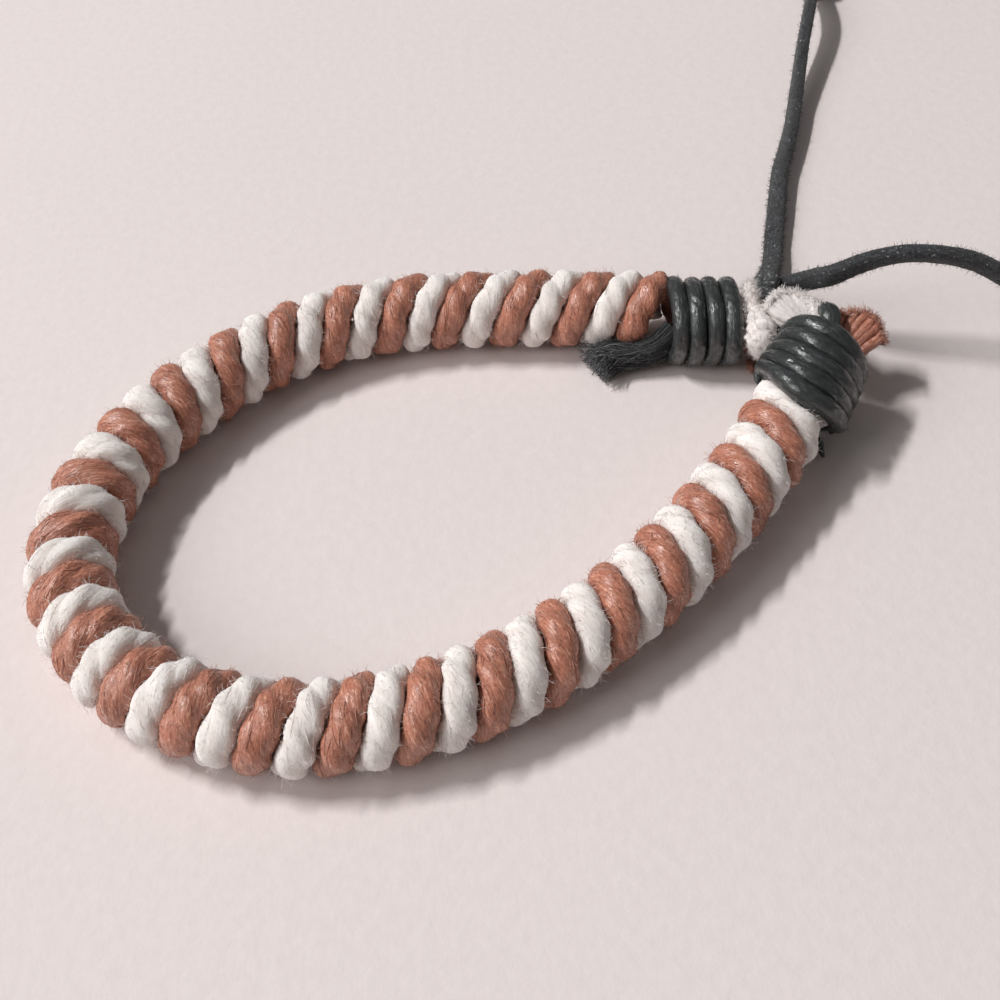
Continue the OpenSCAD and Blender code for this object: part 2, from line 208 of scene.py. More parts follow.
class Soup:
    """Vertices and faces of one piece, with the fibre coordinates and a tint for the shaders."""

    def __init__(self):
        self.co, self.fibre, self.tint, self.faces, self.count = [], [], [], [], 0

    def add(self, co, fibre, tint, faces):
        self.co.append(co)
        self.fibre.append(fibre)
        self.tint.append(np.broadcast_to(np.asarray(tint, float), (len(co),)))
        self.faces += [f + self.count for f in faces]
        self.count += len(co)

    def tube(self, rings, fibre, tint=0.5):
        """One closed tube through rings of equal size."""
        count, sides = rings.shape[:2]
        j = np.arange(sides)
        after = (j + 1) % sides
        base = np.arange(count - 1)[:, None] * sides
        a, b = base + j, base + after
        quads = np.stack([a, b, b + sides, a + sides], -1).reshape(-1, 4)
        start = np.stack([np.full(sides, count * sides), after, j], -1)
        last = (count - 1) * sides
        end = np.stack([np.full(sides, count * sides + 1), last + j, last + after], -1)
        co = np.vstack([rings.reshape(-1, 3), rings[0].mean(0), rings[-1].mean(0)])
        fib = np.vstack([fibre.reshape(-1, 3), fibre[0].mean(0), fibre[-1].mean(0)])
        tint = np.asarray(tint, float)
        if tint.ndim:
            tint = np.concatenate([tint.ravel(), [tint.flat[0], tint.flat[-1]]])
        self.add(co, fib, tint, [quads, start, end])

    def threads(self, paths, radius, tint, seed):
        """Many thin threads at once. paths: threads x points x 3, radius: threads x points."""
        n, k = paths.shape[:2]
        sides = THREAD_SIDES
        rng = np.random.default_rng(seed)
        forward = unit(np.gradient(paths, axis=1))
        mean = unit(forward.mean(1))
        axis = np.eye(3)[np.abs(mean).argmin(1)]
        first = unit(np.cross(mean, axis))
        side = unit(first[:, None] - forward * (forward * first[:, None]).sum(-1, keepdims=True))
        over = np.cross(forward, side)
        angle = circle(sides)
        ring = side[:, :, None] * np.cos(angle)[:, None] + over[:, :, None] * np.sin(angle)[:, None]
        co = paths[:, :, None] + ring * radius[:, :, None, None]
        steps = np.linalg.norm(np.diff(paths, axis=1), axis=-1)
        run = np.concatenate([np.zeros((n, 1)), np.cumsum(steps, 1)], 1)
        fib = np.empty((n, k, sides, 3))
        fib[..., 0] = radius[:, :, None] * np.cos(angle) + rng.uniform(0, THREAD_APART, (n, 1, 1))
        fib[..., 1] = radius[:, :, None] * np.sin(angle) + rng.uniform(0, THREAD_APART, (n, 1, 1))
        fib[..., 2] = run[:, :, None] + rng.uniform(0, THREAD_APART, (n, 1, 1))
        t, i, j = np.meshgrid(np.arange(n), np.arange(k - 1), np.arange(sides), indexing="ij")
        a = (t * k + i) * sides + j
        b = (t * k + i) * sides + (j + 1) % sides
        quads = np.stack([a, b, b + sides, a + sides], -1).reshape(-1, 4)
        base = np.arange(n)[:, None] * k * sides
        caps = [np.hstack([base + sides - 1 - q for q in range(sides)]),
                np.hstack([base + (k - 1) * sides + q for q in range(sides)])]
        spread = np.broadcast_to(np.asarray(tint, float).reshape(n, -1, 1), (n, k, sides)).ravel()
        self.add(co.reshape(-1, 3), fib.reshape(-1, 3), spread, [quads] + caps)

    def hairs(self, roots, normals, forward, seed, long, radius, lean, tint, points=3):
        """Short bent hairs that stand on a surface. long and tint hold the least and the most."""
        rng = np.random.default_rng(seed)
        n = len(roots)
        size = rng.uniform(*long, n)[:, None, None]
        side = np.cross(normals, forward)
        lay = forward * rng.normal(0, 1, (n, 1)) + side * rng.normal(0, 0.6, (n, 1))
        go = unit(normals + lean * lay + rng.normal(0, 0.25, (n, 3)))
        bend = unit(np.cross(go, rng.normal(0, 1, (n, 3)))) * rng.uniform(0.2, 1.0, (n, 1))
        t = np.linspace(0, 1, points)[None, :, None]
        curve = go[:, None] * t + bend[:, None] * t * t
        paths = roots[:, None] - normals[:, None] * HAIR_ROOT + size * curve
        taper = np.broadcast_to(radius * (1 - HAIR_TAPER * t[..., 0]), (n, points))
        self.threads(paths, taper, rng.uniform(*tint, n), seed + 7)

    def piece(self, name, material, node=None):
        """The finished object, in place of a node of the CAD model where one is named."""
        mesh = bpy.data.meshes.new(name)
        faces = [row for block in self.faces for row in block.tolist()]
        mesh.from_pydata((np.vstack(self.co) * MM).tolist(), [], faces)
        mesh.attributes.new("fibre", "FLOAT_VECTOR", "POINT").data.foreach_set(
            "vector", np.vstack(self.fibre).astype(np.float32).ravel())
        mesh.attributes.new("tint", "FLOAT", "POINT").data.foreach_set(
            "value", np.concatenate(self.tint).astype(np.float32))
        mesh.polygons.foreach_set("use_smooth", [True] * len(mesh.polygons))
        mesh.materials.append(material)
        mesh.update()
        obj = bpy.data.objects.new(name, mesh)
        bpy.context.scene.collection.objects.link(obj)
        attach(obj, "root")
        if node:
            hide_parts(node)
        return obj


def cross_frame(path):
    """Directions along, across (level) and over a path."""
    forward = unit(np.gradient(path[:, :3], axis=0))
    level = unit(np.cross(forward, [0, 0, 1]))
    return forward, level, np.cross(level, forward)


def strip_rings(rows, sides, corner, lump, seed):
    """Rings of a flat strip through rows of x, y, z, width, thickness and roll, and its directions."""
    _, level, upright = cross_frame(rows)
    roll = np.radians(rows[:, 5])[:, None]
    across = level * np.cos(roll) + upright * np.sin(roll)
    over = upright * np.cos(roll) - level * np.sin(roll)
    angle = circle(sides)
    c, s = round_square(angle, corner)
    run = lengths(rows)[:, None]
    broad = wave(run + 2 * np.cos(angle), seed, 3)
    small = wave(run * 1.7 + 3 * np.sin(angle), seed + 1, 5)
    size = 1 + lump * (broad + small) / 2
    wide = c * size * rows[:, 3:4] / 2
    high = s * size * rows[:, 4:5] / 2
    rings = rows[:, None, :3] + across[:, None] * wide[..., None] + over[:, None] * high[..., None]
    fibre = grid(c * rows[:, 3:4] / 2, s * rows[:, 4:5] / 2, run)
    return rings, fibre, across, over


def rope(soup, rows, seed, sides=12, steps=8, rough=0.12, tint=0.5):
    """A lumpy round strand through rows of x, y, z and radius."""
    line = smooth(rows, steps)
    forward, level, over = cross_frame(line)
    angle = circle(sides)
    run = lengths(line)[:, None]
    broad = wave(run * 2 + 3 * np.cos(angle), seed, 3)
    small = wave(run * 5 + 4 * np.sin(angle), seed + 1, 3)
    size = line[:, 3:] * (1 + rough * broad + rough / 2 * small)
    offset = level[:, None] * np.cos(angle)[:, None] + over[:, None] * np.sin(angle)[:, None]
    rings = line[:, None, :3] + offset * size[..., None]
    soup.tube(rings, grid(size * np.cos(angle), size * np.sin(angle), run) + seed, tint)
    return rings, offset, forward


def bundle_paths(rows, count, thick, seed, steps, wild, ragged):
    """Paths of threads that fill a strip through rows of x, y, z, width and thickness."""
    rng = np.random.default_rng(seed)
    core = smooth(rows, steps)
    _, level, over = cross_frame(core)
    share = np.linspace(0, 1, len(core))
    u, v = rng.uniform(-1, 1, count), rng.uniform(-1, 1, count)
    far = np.maximum((np.abs(u) ** BUNDLE_CORNER + np.abs(v) ** BUNDLE_CORNER) ** (1 / BUNDLE_CORNER), 1)
    u, v = u / far, v / far
    end = 1 - ragged * rng.uniform(0, 1, count) ** 1.5
    paths = np.empty((count, len(core), 3))
    for i in range(count):
        s = share * end[i]
        row, side, up = [sample(s, share, table) for table in (core, level, over)]
        grow = s**1.6 * wild
        own_seed = seed * BUNDLE_SEEDS + i
        du = u[i] * (row[:, 3] / 2 - thick / 2) + grow * wave(s * 6, own_seed, 1.2, 3)
        dv = v[i] * (row[:, 4] / 2 - thick / 2) + grow * wave(s * 6, own_seed + SECOND_SEEDS, 1.2, 3)
        paths[i] = row[:, :3] + side * du[:, None] + up * dv[:, None]
    return paths


# Materials

class Nodes:
    """A small helper for shader trees."""

    def __init__(self, name):
        self.material = bpy.data.materials.new(name)
        self.material.use_nodes = True
        self.tree = self.material.node_tree
        self.shader = self.tree.nodes["Principled BSDF"]

    def new(self, kind, **values):
        node = self.tree.nodes.new(kind)
        for key, value in values.items():
            setattr(node, key, value)
        return node

    def link(self, out, into):
        self.tree.links.new(out, into)

    def attribute(self, name, output):
        return self.new("ShaderNodeAttribute", attribute_name=name).outputs[output]

    def noise(self, vector, scale, along=None, detail=3.0, rough=0.55, distortion=0.0):
        """Noise that is drawn out along the fibre where along is below 1."""
        if along:
            node = self.new("ShaderNodeVectorMath", operation="MULTIPLY")
            self.link(vector, node.inputs[0])
            node.inputs[1].default_value = (1, 1, along)
            vector = node.outputs[0]
        node = self.new("ShaderNodeTexNoise")
        self.link(vector, node.inputs["Vector"])
        node.inputs["Scale"].default_value = scale
        node.inputs["Detail"].default_value = detail
        node.inputs["Roughness"].default_value = rough
        node.inputs["Distortion"].default_value = distortion
        return node.outputs["Fac"]

    def ramp(self, value, stops):
        node = self.new("ShaderNodeValToRGB")
        self.link(value, node.inputs["Fac"])
        ramp = node.color_ramp
        while len(ramp.elements) < len(stops):
            ramp.elements.new(0.5)
        for element, (place, color) in zip(ramp.elements, stops):
            element.position = place
            element.color = (*color, 1)
        return node.outputs["Color"]

    def span(self, value, low, high, to_low, to_high):
        """A value from low to high mapped to the range from to_low to to_high."""
        node = self.new("ShaderNodeMapRange")
        self.link(value, node.inputs["Value"])
        for key, number in (("From Min", low), ("From Max", high), ("To Min", to_low), ("To Max", to_high)):
            node.inputs[key].default_value = number
        return node.outputs["Result"]

    def math(self, operation, a, b):
        node = self.new("ShaderNodeMath", operation=operation)
        for k, x in enumerate((a, b)):
            if isinstance(x, (int, float)):
                node.inputs[k].default_value = x
            else:
                self.link(x, node.inputs[k])
        return node.outputs[0]

    def mix(self, factor, a, b, blend="MIX"):
        node = self.new("ShaderNodeMix", data_type="RGBA", blend_type=blend)
        if isinstance(factor, (int, float)):
            node.inputs[0].default_value = factor
        else:
            self.link(factor, node.inputs[0])
        for k, x in ((6, a), (7, b)):
            if isinstance(x, tuple):
                node.inputs[k].default_value = (*x, 1)
            else:
                self.link(x, node.inputs[k])
        return node.outputs[2]

    def shade(self, color, value):
        """A colour times a value."""
        gray = self.new("ShaderNodeCombineColor")
        for k in range(3):
            self.link(value, gray.inputs[k])
        return self.mix(1.0, color, gray.outputs[0], "MULTIPLY")

    def bump(self, height, distance):
        node = self.new("ShaderNodeBump")
        node.inputs["Distance"].default_value = distance * MM
        self.link(height, node.inputs["Height"])
        self.link(node.outputs["Normal"], self.shader.inputs["Normal"])

    def set(self, **values):
        for key, value in values.items():
            self.shader.inputs[key.replace("_", " ")].default_value = value


def cotton(name, dark, base, light, rough, specular, sheen, height, scatter, depth, streak):
    """Soft spun cord: short fine fibres along the cord, a light mottle and soft lumps."""
    m = Nodes(name)
    fibre = m.attribute("fibre", "Vector")
    fine = m.noise(fibre, streak, along=0.14, detail=4, rough=0.65, distortion=0.5)
    specks = m.noise(fibre, streak * 1.1, along=0.5, rough=0.6)
    lumps = m.noise(fibre, 1.5, along=0.4, rough=0.6)
    blend = m.math("ADD", m.math("MULTIPLY", fine, 0.6), m.math("MULTIPLY", specks, 0.4))
    color = m.ramp(blend, [(0.37, dark), (0.48, base), (0.53, base), (0.63, light)])
    tint = m.attribute("tint", "Fac")
    value = m.math("ADD", m.span(tint, 0, 1, 0.84, 1.12), m.span(lumps, 0.3, 0.7, -0.1, 0.08))
    m.link(m.shade(color, value), m.shader.inputs["Base Color"])
    m.link(m.span(specks, 0.35, 0.65, rough + 0.12, rough - 0.12), m.shader.inputs["Roughness"])
    m.set(Specular_IOR_Level=specular, Sheen_Weight=sheen, Sheen_Roughness=0.5)
    m.set(Diffuse_Roughness=0.85 * rough, Subsurface_Weight=scatter, Subsurface_Scale=depth * MM)
    m.set(Subsurface_Radius=(1.0, 0.95, 0.9))
    m.bump(m.math("ADD", m.math("MULTIPLY", blend, 0.7), m.math("MULTIPLY", lumps, 1.6)), height)
    return m.material


def waxed(name):
    """Black cord with a coat of wax that catches the light in uneven glints."""
    m = Nodes(name)
    fibre = m.attribute("fibre", "Vector")
    fine = m.noise(fibre, 4.5, along=0.22, detail=4, rough=0.6)
    lumps = m.noise(fibre, 1.5, along=0.5)
    color = m.ramp(fine, [
        (0.3, (0.007, 0.009, 0.010)), (0.55, (0.033, 0.037, 0.037)), (0.8, (0.10, 0.108, 0.109))])
    m.link(color, m.shader.inputs["Base Color"])
    m.link(m.span(fine, 0.38, 0.6, 0.5, 0.14), m.shader.inputs["Roughness"])
    m.set(Specular_IOR_Level=0.75)
    m.bump(m.math("ADD", m.math("MULTIPLY", fine, 0.5), lumps), 0.13)
    return m.material


def suede(name, dark, base, light, lint_at=0.70, gray_tips=0.0):
    """Black lace or frayed cord with a short nap and a few specks of lint."""
    m = Nodes(name)
    fibre = m.attribute("fibre", "Vector")
    nap = m.noise(fibre, 7, along=0.6, detail=5, rough=0.72)
    broad = m.noise(fibre, 1.2, along=0.4)
    lint = m.noise(fibre, 3.4, detail=1, rough=0.4)
    color = m.ramp(nap, [(0.34, dark), (0.52, base), (0.72, light)])
    tint = m.attribute("tint", "Fac")
    value = m.math("MULTIPLY", m.span(broad, 0.3, 0.7, 0.7, 1.3), m.span(tint, 0, 1, 0.4, 1.7))
    color = m.shade(color, value)
    color = m.mix(m.span(lint, lint_at, lint_at + 0.04, 0.0, 0.7), color, (0.42, 0.43, 0.44))
    if gray_tips:
        color = m.mix(m.span(tint, 0.55, 1.0, 0.0, gray_tips), color, (0.34, 0.33, 0.34))
    m.link(color, m.shader.inputs["Base Color"])
    m.link(m.span(nap, 0.35, 0.65, 0.9, 0.6), m.shader.inputs["Roughness"])
    m.set(Specular_IOR_Level=0.35, Sheen_Weight=0.15, Sheen_Roughness=0.6)
    m.bump(m.math("ADD", nap, m.math("MULTIPLY", broad, 0.8)), 0.12)
    return m.material


def table_top(name):
    """A pale smooth table with a faint grain."""
    m = Nodes(name)
    place = m.new("ShaderNodeTexCoord").outputs["Object"]
    grain = m.noise(place, 900, detail=4, rough=0.6)
    cloud = m.noise(place, 14, detail=2, rough=0.5)
    color = m.ramp(grain, [(0.3, (0.745, 0.668, 0.650)), (0.7, (0.775, 0.697, 0.680))])
    m.link(m.shade(color, m.span(cloud, 0.3, 0.7, 0.985, 1.01)), m.shader.inputs["Base Color"])
    m.set(Roughness=0.9, Specular_IOR_Level=0.15)
    m.bump(grain, 0.05)
    return m.material


WHITE = cotton(
    "white_cotton", dark=(0.76, 0.69, 0.65), base=(0.91, 0.84, 0.80), light=(0.96, 0.90, 0.86), rough=0.9,
    specular=0.1, sheen=0.2, height=0.085, scatter=0.5, depth=0.9, streak=7.5)
FLUFF = cotton(
    "white_fluff", dark=(0.83, 0.765, 0.735), base=(0.92, 0.853, 0.82), light=(0.97, 0.91, 0.88), rough=0.9,
    specular=0.1, sheen=0.3, height=0.02, scatter=0.3, depth=0.25, streak=6.0)
# BROWN's mottle is partly the fibres' own uneven tone and partly painted light: its light stop paints glints
# and its dark stop paints shade between the fibres
BROWN = cotton(
    "brown_cotton", dark=(0.28, 0.092, 0.053), base=(0.52, 0.195, 0.12), light=(0.80, 0.44, 0.31), rough=0.38,
    specular=0.8, sheen=0.12, height=0.11, scatter=0.1, depth=1.0, streak=6.5)
WAX = waxed("waxed_cord")
SUEDE = suede("black_lace", dark=(0.007, 0.007, 0.009), base=(0.026, 0.027, 0.030), light=(0.10, 0.105, 0.11))
SMOOTH = waxed("smooth_lace")
FRAYED = suede(
    "frayed_cord", dark=(0.014, 0.015, 0.016), base=(0.038, 0.041, 0.042), light=(0.16, 0.165, 0.17),
    lint_at=0.9, gray_tips=0.75)
KNOTTED = suede(
    "knotted_lace", dark=(0.010, 0.011, 0.012), base=(0.046, 0.048, 0.049), light=(0.17, 0.175, 0.175),
    lint_at=0.62)


# Camera

# The camera fitted to the photo: its place, its tilt down and its roll in degrees
CAMERA_PLACE = (1.57, -71.72, 79.99)
CAMERA_DOWN = 47.713
CAMERA_ROLL = -5.272
SENSOR = 36
LENS = 47.717
# The nearest and the farthest that it sees, in metres
CLIP_START, CLIP_END = 0.005, 10


def make_camera():
    """The photo's camera."""
    down, roll = math.radians(CAMERA_DOWN), math.radians(CAMERA_ROLL)
    forward = Vector((0, math.cos(down), -math.sin(down)))
    right, up = Vector((1, 0, 0)), Vector((0, math.sin(down), math.cos(down)))
    right, up = (right * math.cos(roll) + up * math.sin(roll), up * math.cos(roll) - right * math.sin(roll))
    camera = bpy.data.objects.new("camera", bpy.data.cameras.new("camera"))
    camera.data.sensor_width = SENSOR
    camera.data.lens = LENS
    camera.data.clip_start = CLIP_START
    camera.data.clip_end = CLIP_END
    place = Matrix.Identity(4)
    for k, axis in enumerate((right, up, -forward)):
        for r in range(3):
            place[r][k] = axis[r]
    place.translation = Vector(CAMERA_PLACE) * MM
    camera.matrix_world = place
    bpy.context.scene.collection.objects.link(camera)
    bpy.context.scene.camera = camera


make_camera()


# The two free tails of the lace

# The lace's section and its nap
LACE_CORNER = 2.8
LACE_SIDES = 28
NAP_PER_MM = 48
# An overhand knot: steps along its line, corners of its section, depth along its axis and run of its noise
KNOT_STEPS = 96
KNOT_SIDES = 16
KNOT_DEEP = 0.75
KNOT_RUN = 12
# A tail's knot: how far past the tail its middle lies, and how high above the table
KNOT_AHEAD = 1.88
KNOT_HIGH = 1.8
# The short end past a tail's knot: where it starts, its reach, its drop, its width and its thickness
END_BACK = 0.4
END_REACH = 3.4
END_DROP = 0.9
END_W, END_T = 1.5, 1.125


def lace(soup, rows, seed):
    """A strip of suede with a short nap, thickest at its edges."""
    rings, fibre, across, over = strip_rings(rows, LACE_SIDES, LACE_CORNER, lump=0.045, seed=seed)
    soup.tube(rings, fibre)
    rng = np.random.default_rng(seed + 3)
    run = lengths(rows)
    n = int(run[-1] * NAP_PER_MM)
    s = rng.uniform(0, run[-1], n)
    row = sample(s, run, rows)
    side, up = unit(sample(s, run, across)), unit(sample(s, run, over))
    forward = unit(sample(s, run, np.gradient(rows[:, :3], axis=0)))
    angle = np.where(rng.uniform(0, 1, n) < 0.5, 0, np.pi) + rng.normal(0, 0.75, n)
    c, v = round_square(angle, LACE_CORNER)
    roots = row[:, :3] + side * (c * row[:, 3] / 2)[:, None] + up * (v * row[:, 4] / 2)[:, None]
    normal = unit(side * np.cos(angle)[:, None] + up * np.sin(angle)[:, None])
    soup.hairs(roots, normal, forward, seed + 4, long=(0.12, 0.45), radius=0.021, lean=0.9, tint=(0.2, 0.8))


def knot_loop(soup, centre, axis, radius, thick, seed, nap):
    """A tight overhand knot: a tube along a three-lobed line round an axis."""
    t = np.linspace(0, 2 * np.pi, KNOT_STEPS + 1)[:-1]
    lobes = grid((np.sin(t) + 2 * np.sin(2 * t)) / 3, (np.cos(t) - 2 * np.cos(2 * t)) / 3, -np.sin(3 * t))
    side = unit(np.cross([0, 0, 1.0], axis))
    top = np.cross(axis, side)
    line = centre + radius * (lobes[:, :1] * side + lobes[:, 1:2] * top) + KNOT_DEEP * lobes[:, 2:] * axis
    forward = unit(np.roll(line, -1, 0) - np.roll(line, 1, 0))
    across = unit(np.cross(forward, unit(line - centre)))
    over = np.cross(forward, across)
    angle = circle(KNOT_SIDES)
    broad = wave(t[:, None] * 3 + np.cos(angle), seed, 2)
    small = wave(t[:, None] * 9 + 3 * np.sin(angle), seed + 1, 2)
    size = thick * (1 + 0.10 * broad + 0.08 * small)
    offset = across[:, None] * np.cos(angle)[:, None] + over[:, None] * np.sin(angle)[:, None]
    rings = line[:, None] + size[..., None] * offset
    rings = np.concatenate([rings, rings[:1]])
    run = np.linspace(0, KNOT_RUN, len(rings))[:, None]
    soup.tube(rings, grid(thick * np.cos(angle), thick * np.sin(angle), run))
    rng = np.random.default_rng(seed)
    pick = rng.integers(0, len(t), nap), rng.integers(0, KNOT_SIDES, nap)
    normal = unit(rings[pick] - line[pick[0]])
    soup.hairs(rings[pick], normal, forward[pick[0]], seed + 5, long=(0.12, 0.5), radius=0.018, lean=0.9,
               tint=(0.2, 0.9))


def strip_rows(points, width, thick, roll):
    """The rows of a strip of even size."""
    return np.column_stack([points, np.full(len(points), width), np.full(len(points), thick), roll])


def tail(name, route, node, knot_node, seed):
    """A free tail of the lace, and the knot at its far end as a piece of its own."""
    curve = smooth(route, STRIP_STEPS)
    rows = strip_rows(curve[:, :3], LACE_W, LACE_T, curve[:, 3])
    soup = Soup()
    lace(soup, rows, seed)
    obj = soup.piece(name, SUEDE, node)
    last, before = np.array(route[-1][:3]), np.array(route[-2][:3])
    forward = unit(last - before)
    flat = unit(forward * [1, 1, 0])
    centre = np.array([*(last + forward * KNOT_AHEAD)[:2], KNOT_HIGH])
    knot = Soup()
    knot_loop(knot, centre, flat, radius=1.22, thick=0.56, seed=seed + 11, nap=500)
    start, stop = last - forward * END_BACK, centre + flat * END_REACH - [0, 0, END_DROP]
    mid = smooth([start, centre, stop], STRIP_STEPS)
    lace(knot, strip_rows(mid, END_W, END_T, np.linspace(75, 20, len(mid))), seed + 12)
    knot_obj = knot.piece(name + "_knot", SUEDE, knot_node)


tail("far_lace", FAR_TAIL, "far_tail", "far_tail_knot", 41)
tail("right_lace", RIGHT_TAIL, "right_tail", "right_tail_knot", 51)


# The two wound cords

# Stations along the bracelet. The turns start a little under the left binding and end a little before the
# right one
LEFT_START = 1.05
LEFT_OVERLAP = 0.35
RIGHT_ROOM = 1.35
BRAID_START = LEFT_START + (LEFT_TURNS + 1) * LEFT_PITCH - LEFT_OVERLAP
RIGHT_START = LINE_END - (RIGHT_TURNS + 1) * RIGHT_PITCH
PITCH = (RIGHT_START - RIGHT_ROOM - BRAID_START) / TURNS
# The angles in degrees at which the bindings' first wraps start
LEFT_FIRST, RIGHT_FIRST = 170, 120
# How a binding squeezes the cords: distances from its edge, and the part of their size that is left
LEFT_SQUEEZE = [-0.7, -0.1, 0.3], [0.32, 0.86, 1]
RIGHT_SQUEEZE = [-0.4, 0.0, 1.5], [1, 0.9, 0.64]
# The cords' section and plies
CORD_CORNER = 2.4
CORD_COLUMNS = 36
RINGS_PER_TURN = 44
PLIES = 3
TURNS_PER_TWIST = 0.46
GROOVE_WIDE, GROOVE_HIGH = 0.12, 0.17
# How strongly the columns of a cord's mesh gather in its grooves, and how many turns early the mesh starts
COLUMN_PULL = 0.4
EARLY = 0.6
# The fibres of a cord in one turn: how far they twist in radians, and the radius and run of their noise
FIBRE_TURN = 5.0
FIBRE_R = 1.4
TURN_RUN = 20
# The length of cord in one turn
MM_PER_TURN = 22
# Each cord's place in the winding: shift and late start in turns, and its seed
WHITE_LAY = {"shift": 0.75, "late": 0.2, "seed": 61}
BROWN_LAY = {"shift": 0.25, "late": 0.0, "seed": 71}


def wrap_edge(table, step, turn, a):
    """Where along the bracelet the wrap starts that has come round by turn, at angle a in radians."""
    lean_out, lean_up = [np.interp(turn, table[:, 0], table[:, k]) for k in (1, 2)]
    return step * turn - lean_out * np.sin(a) - lean_up * ((1 + np.cos(a)) / 2) ** 2


def squeeze(s, a):
    """The part of the cords' size that the bindings leave at station s and angle a."""
    left_turn = np.mod(LEFT_FIRST / 360 - np.degrees(a) / 360, 1)
    right_turn = np.mod(RIGHT_FIRST / 360 - np.degrees(a) / 360, 1)
    left = LEFT_START - GAP + wrap_edge(LEFT_WRAPS, LEFT_PITCH, LEFT_TURNS + left_turn, a)
    right = RIGHT_START + wrap_edge(RIGHT_WRAPS, RIGHT_PITCH, right_turn, a)
    return np.minimum(np.interp(s - left, *LEFT_SQUEEZE), np.interp(s - right, *RIGHT_SQUEEZE))


def cord_surface(turn, theta, groove, shift, seed):
    """Points on a wound cord. theta: section angle, groove: 1 between two plies and 0 on top of one."""
    wide, high = round_square(theta, CORD_CORNER)
    wide = wide * (1 - GROOVE_WIDE * groove) * (1.05 + 0.03 * wave(turn, seed, 7))
    high = high * (1 - GROOVE_HIGH * groove)
    m = turn + shift + wide / 4
    a = -2 * np.pi * turn
    s = (BRAID_START + PITCH * (m + np.interp(m, WINDING[:, 0], WINDING[:, 1]))
         - np.interp(m, WINDING[:, 0], WINDING[:, 2]) * np.sin(a) + 0.07 * wave(turn, seed + 1, 5))
    r_mid, r_half = (BRAID_D / 2 + HOLLOW_R) / 2, (BRAID_D / 2 - HOLLOW_R) / 2
    r = (r_mid + high * r_half * (1 + 0.04 * wave(turn, seed + 2, 8))) * squeeze(s, a)
    return around(s, r * np.sin(a), r * np.cos(a))


def lay_angle(turn, seed):
    """How far the plies have twisted."""
    return 2 * np.pi * (turn / TURNS_PER_TWIST + 0.07 * wave(turn, seed + 9, 2.2))


def groove_at(phi):
    """1 in the groove between two plies and 0 on top of one."""
    return np.cos(PLIES * phi / 2) ** 2


def wound_cord(name, material, slot, node, shift, late, seed, extra):
    """One cord of three twisted plies, wound along the bracelet. extra: the turns that it runs on."""
    count = int(round((TURNS + extra - late) * RINGS_PER_TURN))
    turn = (late - EARLY + np.arange(count + 1) / RINGS_PER_TURN)[:, None]
    w = np.arange(CORD_COLUMNS) * PLIES / CORD_COLUMNS
    phi = (2 * np.pi / PLIES * (w - COLUMN_PULL * np.sin(2 * np.pi * w) / (2 * np.pi)))[None, :]
    ply = np.floor(w + 1e-6)[None, :]
    theta = lay_angle(turn, seed) + phi
    deep = groove_at(phi) * (1 + 0.35 * wave(turn * 2 + ply * 7, seed + 4, 4))
    rings = cord_surface(np.broadcast_to(turn, theta.shape), theta, deep, shift, seed)
    q = theta - FIBRE_TURN * turn
    # tint: a random tone along each ply, made lower in the grooves between the plies, which is painted shade
    tint = 0.55 + 0.25 * wave(turn * 3 + ply * 5, seed + 5, 3) - 0.15 * groove_at(phi)
    soup = Soup()
    soup.tube(rings, grid(FIBRE_R * np.cos(q), FIBRE_R * np.sin(q), turn * TURN_RUN), np.clip(tint, 0, 1))
    return soup.piece(name, material, node)


def on_cord(turn, theta, shift, seed):
    """Places on a wound cord with their outward and along directions."""
    deep = groove_at(theta - lay_angle(turn, seed))
    step, aside_step = 0.004, 0.03
    here = cord_surface(turn, theta, deep, shift, seed)
    ahead = cord_surface(turn + step, theta + FIBRE_TURN * step, deep, shift, seed)
    aside = cord_surface(turn, theta + aside_step, deep, shift, seed)
    forward = unit(ahead - here)
    normal = unit(np.cross(aside - here, forward))
    middle = at(BRAID_START + PITCH * (turn + shift))
    return here, normal * np.sign(((here - middle) * normal).sum(-1, keepdims=True)), forward


def lying_fibres(name, material, slot, shift, late, seed, count, long, radius, lift, tint):
    """Fibres that lie on a wound cord, along its twist."""
    rng = np.random.default_rng(seed + 200)
    start = rng.uniform(late - 0.3, TURNS - 0.7, (count, 1))
    turns = rng.uniform(*long, (count, 1)) / MM_PER_TURN
    t = np.linspace(0, 1, 4)[None, :]
    turn = start + turns * t
    tilt = rng.normal(0, 0.18, (count, 1)) * t
    sway = rng.normal(0, 0.12, (count, 1)) * np.sin(np.pi * t * rng.uniform(0.5, 2, (count, 1)))
    theta = rng.uniform(-0.05, 1.05, (count, 1)) * np.pi + FIBRE_TURN * turns * t + (tilt + sway)
    here, normal, _ = on_cord(turn, np.clip(theta, -0.3, np.pi + 0.3), shift, seed)
    high = rng.exponential(lift, (count, 1)).clip(0, 5 * lift)
    paths = here + normal * (high * np.sin(np.pi * t) - 0.3 * radius)[..., None]
    thick = radius * rng.uniform(0.7, 1.4, (count, 1)) * (1 - 0.5 * np.abs(2 * t - 1) ** 3)
    soup = Soup()
    soup.threads(paths, thick, rng.uniform(*tint, count), seed + 7)
    return soup.piece(name, material)


def fuzz(name, material, slot, shift, late, seed, count, long, radius):
    """Stray fibres that stand off a wound cord."""
    rng = np.random.default_rng(seed + 100)
    turn = rng.uniform(late - 0.1, TURNS - 0.9, count)
    theta = rng.uniform(0.0, 1.0, count) * np.pi
    here, normal, forward = on_cord(turn, theta, shift, seed)
    soup = Soup()
    soup.hairs(here, normal, forward, seed + 101, long=long, radius=radius, lean=0.9, tint=(0.4, 1.0))
    return soup.piece(name, material)


